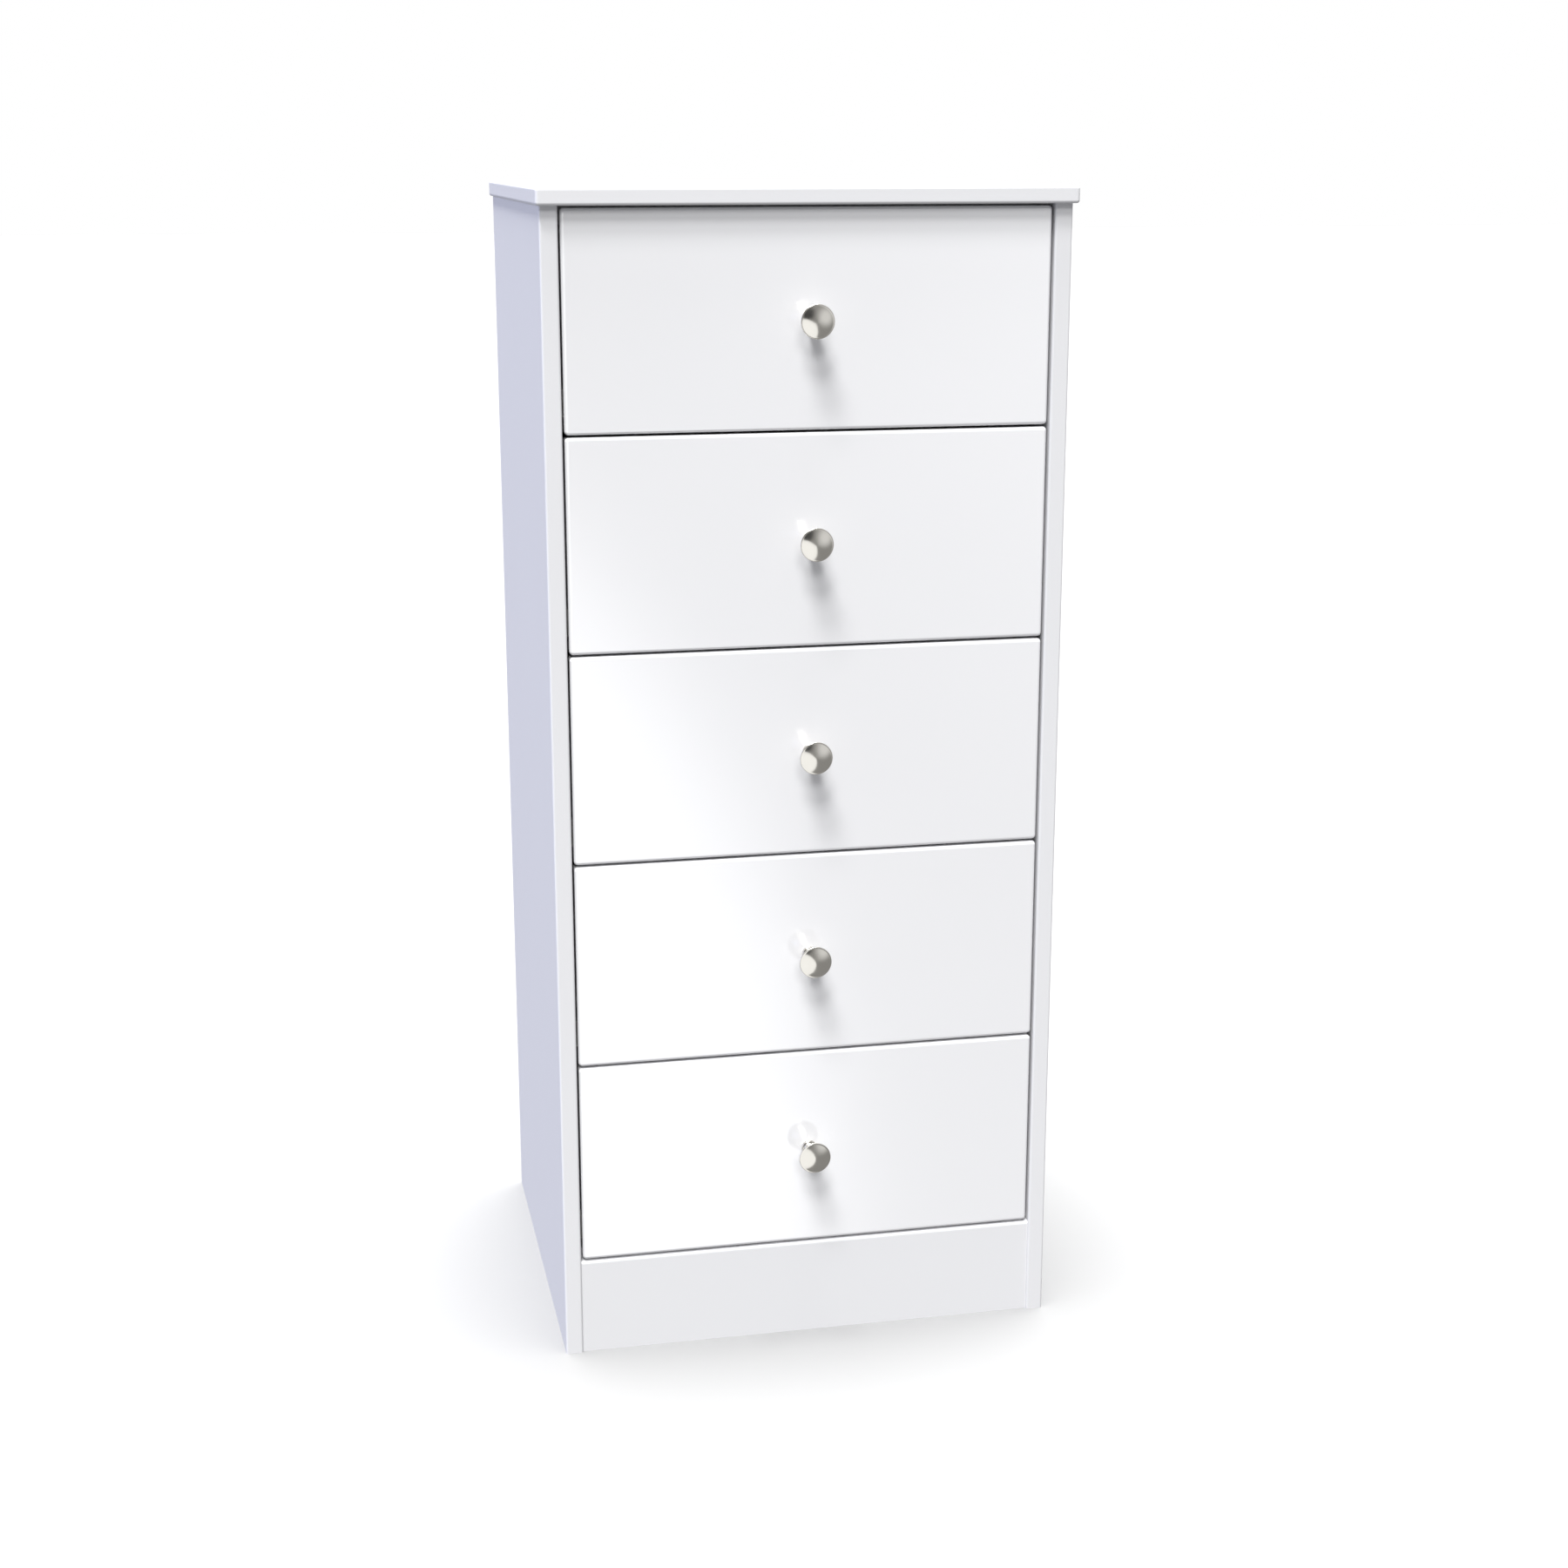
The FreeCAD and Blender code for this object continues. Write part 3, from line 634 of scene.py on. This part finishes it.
class Runner:
    """One drawer's pair of runners: places read from the frame and sizes of the steel, in metres."""

    steel = 1.2 * MM
    flange = 9.0 * MM
    under_box = 8.0 * MM  # lower flange of the drawer's member
    top_gap = 2.5 * MM  # from the side panel to the member's upper flange
    channel_drop = 4.2 * MM  # channel below the underside of the box
    channel_tall = 24.0 * MM
    notch = 28.0 * MM
    slot_rise = 12.0 * MM
    # Distances back from the front end of a member or a channel.
    member_slots = (0.085, 0.215, 0.255)
    channel_slots = (0.1, 0.23, 0.32)
    screws = (0.045, 0.17, 0.3)

    def __init__(self, drawer):
        self.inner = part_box("right_side_panel")[0][0]
        self.low, self.high = (Vector(corner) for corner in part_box(f"{drawer}_runners"))
        self.box_low = Vector(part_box(f"{drawer}_right_side")[0])
        self.box_high = Vector(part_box(f"{drawer}_right_side")[1])
        self.room = self.inner - self.box_high.x
        self.member_face = self.room - self.steel
        self.rear = middle(f"{drawer}_rear_rollers")
        self.front = middle(f"{drawer}_cabinet_rollers")
        self.channel_low = self.box_low.z - self.channel_drop
        self.channel_high = self.channel_low + self.channel_tall
        self.channel_ys = tuple(corner[1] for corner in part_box("cabinet_runners"))  # front end, rear end

    def x(self, side, distance):
        """Place across the chest, at a distance in from a side panel."""
        return side * (self.inner - distance)


class CHEST_OT_drawer_runners(bpy.types.Operator):
    """Fold the drawers' runner members, with slots and the pins of the rear rollers"""

    bl_idname = "chest.drawer_runners"
    bl_label = "Drawer runners"

    def execute(self, context):
        hardware = context.scene.chest_hardware
        for drawer in DRAWERS:
            runner = Runner(drawer)
            half = runner.steel / 2
            web = runner.room - half
            low, high = runner.box_low.z - half, runner.high.z - half
            parts = []
            for side in SIDES:
                under = runner.room + runner.under_box
                line = [(under, low), (web, low), (web, high), (runner.top_gap, high)]
                path = [(runner.x(side, distance), z) for distance, z in line]
                start, end = runner.low.y, runner.high.y
                member = folded("member", path, start, end, runner.steel, hardware.fold_round)
                for y in runner.member_slots:
                    spot = (runner.x(side, web), start + y, runner.box_low.z + runner.slot_rise)
                    cut(member, slot_cutter(hardware.slot_long, hardware.slot_wide, spot))
                parts.append(smooth(member))
                spot = (runner.x(side, runner.member_face), runner.rear.y, runner.rear.z)
                parts.append(settle(rivet(2.7, -side), place=spot))
            made = join(f"{drawer}_folded_runners", parts)
            finish(made, drawer, "white_enamel", finishes()["enamel"], f"{drawer}_runners")
        return {"FINISHED"}


class CHEST_OT_cabinet_runners(bpy.types.Operator):
    """Fold the channels on the side panels, with slots and the pins of the front rollers"""

    bl_idname = "chest.cabinet_runners"
    bl_label = "Cabinet runners"

    def execute(self, context):
        hardware = context.scene.chest_hardware
        parts = []
        for drawer in DRAWERS:
            runner = Runner(drawer)
            half = runner.steel / 2
            low, high = runner.channel_low + half, runner.channel_high - half
            start, end = runner.channel_ys
            for side in SIDES:
                line = [(runner.flange, low), (half, low), (half, high), (runner.flange, high)]
                path = [(runner.x(side, distance), z) for distance, z in line]
                channel = folded("channel", path, start, end, runner.steel, hardware.fold_round)
                # Opens the upper flange above the front roller.
                notch = add(bpy.ops.mesh.primitive_cube_add, "notch", size=1,
                            location=(runner.x(side, 7 * MM), start, high),
                            scale=(10 * MM, runner.notch * 2, 4 * MM))
                cut(channel, settle(notch))
                for y in runner.channel_slots:
                    spot = (runner.x(side, half), start + y, runner.channel_low + runner.slot_rise)
                    cut(channel, slot_cutter(hardware.slot_long, hardware.slot_wide, spot))
                parts.append(smooth(channel))
                spot = (runner.x(side, runner.steel), runner.front.y, runner.front.z)
                parts.append(settle(rivet(1.2, side), place=spot))
        made = join("folded_cabinet_runners", parts)
        finish(made, "carcass", "white_enamel", finishes()["enamel"], "cabinet_runners")
        return {"FINISHED"}


class CHEST_OT_rollers(bpy.types.Operator):
    """Mould the runners' rollers, with crowned treads and recessed sides"""

    bl_idname = "chest.rollers"
    bl_label = "Rollers"

    def execute(self, context):
        low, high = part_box("drawer_1_rear_rollers")
        outer, half, bore = (high[2] - low[2]) / 2 / MM, 3.0, 2.55
        hub, tyre, slope, recess = 4.2, 7.1, 0.3, 0.8
        upper = [(bore, half), (hub, half), (hub + slope, half - recess), (tyre - slope, half - recess),
                 (tyre, half), (outer - 0.6, half), (outer - 0.15, half - 0.4)]
        rings = [(radius, -height) for radius, height in upper]
        rings += [(outer, 0), *reversed(upper), rings[0]]
        pattern = smooth(turn("roller_pattern", rings, 56), 30)
        for drawer in DRAWERS:
            for pair in ("rear_rollers", "cabinet_rollers"):
                low, high = (Vector(corner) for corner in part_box(f"{drawer}_{pair}"))
                at = (low + high) / 2
                parts = [copy_of(pattern, "roller", TO_RIGHT, (side * (high.x - half * MM), at.y, at.z))
                         for side in SIDES]
                made = join(f"{drawer}_moulded_{pair}", parts)
                body = f"{drawer}_{pair[:-1]}_pair"
                finish(made, body, "white_nylon", finishes()["nylon"], f"{drawer}_{pair}")
        remove(pattern)
        return {"FINISHED"}


class CHEST_OT_small_screws(bpy.types.Operator):
    """Set the small screws of the runners and of the drawer boxes"""

    bl_idname = "chest.small_screws"
    bl_label = "Small screws"

    def execute(self, context):
        head = context.scene.chest_hardware.screw_head / MM
        low_screw = screw("low_screw_pattern", head, head_high=1.0, shank=3.0, shank_long=12, steps=20)
        box_screw = screw("box_screw_pattern", head, head_high=1.6, shank=3.5, shank_long=30, steps=20)
        on_member, on_channel, channel_start = 5 * MM, 16 * MM, 20 * MM
        in_back = 6 * MM  # middle of the drawer back's thickness
        in_channels = []
        for drawer in DRAWERS:
            runner = Runner(drawer)
            on_drawer = []
            for side in SIDES:
                inward, outward = (TO_LEFT, TO_RIGHT) if side > 0 else (TO_RIGHT, TO_LEFT)
                for y in runner.screws:
                    x = runner.x(side, runner.member_face)
                    spot = (x, runner.low.y + y, runner.box_low.z + on_member)
                    on_drawer.append(copy_of(low_screw, "screw", outward, spot))
                    x = runner.x(side, runner.steel)
                    spot = (x, runner.channel_ys[0] + y + channel_start, runner.channel_low + on_channel)
                    in_channels.append(copy_of(low_screw, "screw", inward, spot))
                for share in (0.3, 0.8):
                    z = runner.box_low.z + share * (runner.box_high.z - runner.box_low.z)
                    spot = (side * runner.box_high.x, runner.box_high.y - in_back, z)
                    on_drawer.append(copy_of(box_screw, "screw", outward, spot))
            made = join(f"{drawer}_small_screws", on_drawer)
            finish(made, drawer, "zinc_steel", finishes()["zinc"])
        made = join("cabinet_runner_screws", in_channels)
        finish(made, "carcass", "zinc_steel", finishes()["zinc"])
        remove(low_screw)
        remove(box_screw)
        return {"FINISHED"}


class CHEST_OT_back_pins(bpy.types.Operator):
    """Drive the pins that hold the back panel"""

    bl_idname = "chest.back_pins"
    bl_label = "Back panel pins"

    def execute(self, context):
        hardware = context.scene.chest_hardware
        low, high = (Vector(corner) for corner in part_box("back_panel"))
        head = hardware.pin_head / MM
        shank, head_edge, head_high = 0.8, 0.25, 0.7
        rings = [(shank / 2, -14), (shank, -12), (shank, 0), (head / 2, 0), (head / 2, head_edge)]
        rings += arc((head / 2, head_edge), (head * 0.1, head_high), 30, 3)
        pattern = smooth(turn("pin_pattern", rings, 20), 40)
        inset, foot_inset, top_inset = 4 * MM, 7.5 * MM, 10 * MM
        rows = round((high.z - low.z) / hardware.pin_pitch)
        columns = round((high.x - low.x) / hardware.pin_pitch)
        spots = [(side * (high.x - inset), low.z + (high.z - low.z) * (row + 0.5) / rows)
                 for side in SIDES for row in range(rows)]
        spots += [(low.x + (high.x - low.x) * (column + 0.5) / columns, z)
                  for z in (low.z + foot_inset, high.z - top_inset) for column in range(columns)]
        pins = [copy_of(pattern, "pin", TO_BACK, (x, high.y, z)) for x, z in spots]
        made = join("back_panel_pins", pins)
        finish(made, "carcass", "zinc_steel", finishes()["zinc"])
        remove(pattern)
        return {"FINISHED"}


# Stage


def sun(name, towards, degrees, power, tint, receivers):
    """Distant soft light. The direction points from the chest to the light, which lights the receivers."""
    data = bpy.data.lights.new(name, "SUN")
    data.angle = math.radians(degrees)
    data.energy = power
    data.color = tint
    lamp = bpy.data.objects.new(name, data)
    lamp.light_linking.receiver_collection = receivers
    lamp.rotation_euler = Vector(towards).to_track_quat("Z", "Y").to_euler()
    bpy.context.scene.collection.objects.link(lamp)


def make_floor(settings):
    """Pale floor that the camera sees and that throws no light back on the chest."""
    floor = add(bpy.ops.mesh.primitive_plane_add, "floor", size=60)
    material, place = new_finish("pale_floor", IOR=1.4, Roughness=0.9)
    cloud = node(material, "ShaderNodeTexNoise", {"Vector": place, "Scale": per_metre(900), "Detail": 2})
    base = node(material, "ShaderNodeMix", data_type="RGBA",
                inputs={"Factor": cloud, "A": tone(settings.floor, 0.99), "B": tone(settings.floor)})
    plug(material, Base_Color=base)
    floor.data.materials.append(material)
    floor.visible_glossy = False
    floor.visible_diffuse = False
    return floor


def make_world(settings):
    """White to the camera, soft light to matt surfaces, and to gloss a grey room with a round softbox."""
    world = bpy.data.worlds.new("studio")
    world.use_nodes = True
    world.cycles.sampling_method = "NONE"  # so that gloss mirrors the room and nothing else
    bpy.context.scene.world = world
    nearly_sideways = 0.001
    way = node(world, "ShaderNodeTexCoord", output="Generated")
    over = node(world, "ShaderNodeSeparateXYZ", {"Vector": way}, output="X")
    up = node(world, "ShaderNodeSeparateXYZ", {"Vector": way}, output="Z")
    ahead = node(world, "ShaderNodeSeparateXYZ", {"Vector": way}, output="Y")
    ahead = node(world, "ShaderNodeMath", {0: ahead, 1: -1.0}, operation="MULTIPLY")
    ahead = node(world, "ShaderNodeMath", {0: ahead, 1: nearly_sideways}, operation="MAXIMUM")
    over = node(world, "ShaderNodeMath", {0: over, 1: ahead}, operation="DIVIDE")
    up = node(world, "ShaderNodeMath", {0: up, 1: ahead}, operation="DIVIDE")
    flat = node(world, "ShaderNodeCombineXYZ", {"X": over, "Y": up})
    glow = (0.56, 0.55, 0.54, 1)
    # The room is laid out flat, one unit in front of the chest. Each patch: middle, radius, blur, brightness.
    dark_corner = ((-0.28, 0.3, 0), 0.36, 0.1, 0.12)
    pale_wall = ((0.55, 0.1, 0), 0.3, 0.2, 1.5)
    softbox = ((-0.3, -0.5, 0), 0.535, 0.02, settings.softbox)
    for centre, radius, blur, bright in (dark_corner, pale_wall, softbox):
        apart = node(world, "ShaderNodeVectorMath", {0: flat, 1: centre}, operation="DISTANCE",
                     output="Value")
        inside = node(world, "ShaderNodeMapRange", interpolation_type="SMOOTHSTEP",
                      inputs={"Value": apart, "From Min": radius + blur, "From Max": radius - blur})
        glow = node(world, "ShaderNodeMix", data_type="RGBA",
                    inputs={"Factor": inside, "A": glow, "B": (bright, bright, bright, 1)})
    soft = node(world, "ShaderNodeBackground", {"Color": (0.96, 0.97, 1.0, 1), "Strength": settings.sky})
    room = node(world, "ShaderNodeBackground", {"Color": glow, "Strength": 1.0})
    white = node(world, "ShaderNodeBackground", {"Color": (1, 1, 1, 1), "Strength": 1.0})
    gloss = node(world, "ShaderNodeLightPath", output="Is Glossy Ray")
    seen = node(world, "ShaderNodeMixShader", {0: gloss, 1: soft, 2: room})
    camera = node(world, "ShaderNodeLightPath", output="Is Camera Ray")
    seen = node(world, "ShaderNodeMixShader", {0: camera, 1: seen, 2: white})
    world.node_tree.links.new(seen, world.node_tree.nodes["World Output"].inputs["Surface"])


class CHEST_OT_stage(bpy.types.Operator):
    """Set the pale floor, the soft studio light and the camera"""

    bl_idname = "chest.stage"
    bl_label = "Stage"

    def execute(self, context):
        settings = context.scene.chest_stage
        context.scene.view_settings.view_transform = "Standard"
        floor = make_floor(settings)
        make_world(settings)
        # The floor and the chest are lit apart, so that each has its own softness of shadow.
        all_but_floor = bpy.data.collections.new("all_but_floor")
        all_but_floor.objects.link(floor)
        all_but_floor.collection_objects[0].light_linking.link_state = "EXCLUDE"
        floor_only = bpy.data.collections.new("floor_only")
        floor_only.objects.link(floor)
        plain, warm, cool = (1.0, 1.0, 1.0), (1.0, 1.0, 0.995), (0.56, 0.62, 1.0)
        # A tall narrow softbox high on the left, as three suns one above another.
        sun("key_high", (-0.23, -0.33, 0.915), 12, settings.key, warm, all_but_floor)
        sun("key_middle", (-0.18, -0.55, 0.81), 14, settings.key * 0.73, warm, all_but_floor)
        sun("key_low", (-0.08, -0.83, 0.55), 16, settings.key * 0.39, warm, all_but_floor)
        sun("overhead", (0.0, 0.0, 1.0), 18, settings.overhead, plain, all_but_floor)
        sun("back_light", (0.35, 0.5, 0.79), 50, settings.back, plain, all_but_floor)
        sun("side_light", (-1.0, 0.3, 0.15), 60, settings.side, cool, all_but_floor)
        sun("floor_light", (0.0, 0.032, 1.0), 31, settings.floor_light, plain, floor_only)
        data = bpy.data.cameras.new("camera")
        data.lens = settings.lens
        data.sensor_width = 36
        camera = bpy.data.objects.new("camera", data)
        camera.location = settings.camera
        camera.rotation_euler = (math.radians(90) - settings.tilt, 0, -settings.pan)
        context.scene.collection.objects.link(camera)
        context.scene.camera = camera
        return {"FINISHED"}


class CHEST_PT_panel(bpy.types.Panel):
    bl_label = "Chest of drawers"
    bl_idname = "CHEST_PT_panel"
    bl_space_type = "VIEW_3D"
    bl_region_type = "UI"
    bl_category = "Chest"

    def draw(self, context):
        for group in ("chest_finishes", "chest_hardware", "chest_stage"):
            settings = getattr(context.scene, group)
            box = self.layout.box()
            for name in settings.bl_rna.properties.keys():
                if name not in ("rna_type", "name"):
                    box.prop(settings, name)
        for operator in OPERATORS:
            self.layout.operator(operator.bl_idname)


GROUPS = {"chest_finishes": ChestFinishes, "chest_hardware": ChestHardware, "chest_stage": ChestStage}
OPERATORS = (
    CHEST_OT_carcass,
    CHEST_OT_drawer_boxes,
    CHEST_OT_knobs,
    CHEST_OT_knob_screws,
    CHEST_OT_drawer_runners,
    CHEST_OT_cabinet_runners,
    CHEST_OT_rollers,
    CHEST_OT_small_screws,
    CHEST_OT_back_pins,
    CHEST_OT_stage,
)


def register():
    for group in (*GROUPS.values(), *OPERATORS, CHEST_PT_panel):
        bpy.utils.register_class(group)
    for name, group in GROUPS.items():
        setattr(bpy.types.Scene, name, bpy.props.PointerProperty(type=group))


def unregister():
    for name in GROUPS:
        delattr(bpy.types.Scene, name)
    for group in (CHEST_PT_panel, *reversed(OPERATORS), *reversed(GROUPS.values())):
        bpy.utils.unregister_class(group)


def main():
    register()
    bpy.ops.chest.carcass()
    bpy.ops.chest.drawer_boxes()
    bpy.ops.chest.knobs()
    bpy.ops.chest.knob_screws()
    bpy.ops.chest.drawer_runners()
    bpy.ops.chest.cabinet_runners()
    bpy.ops.chest.rollers()
    bpy.ops.chest.small_screws()
    bpy.ops.chest.back_pins()
    bpy.ops.chest.stage()


if __name__ == "__main__":
    main()
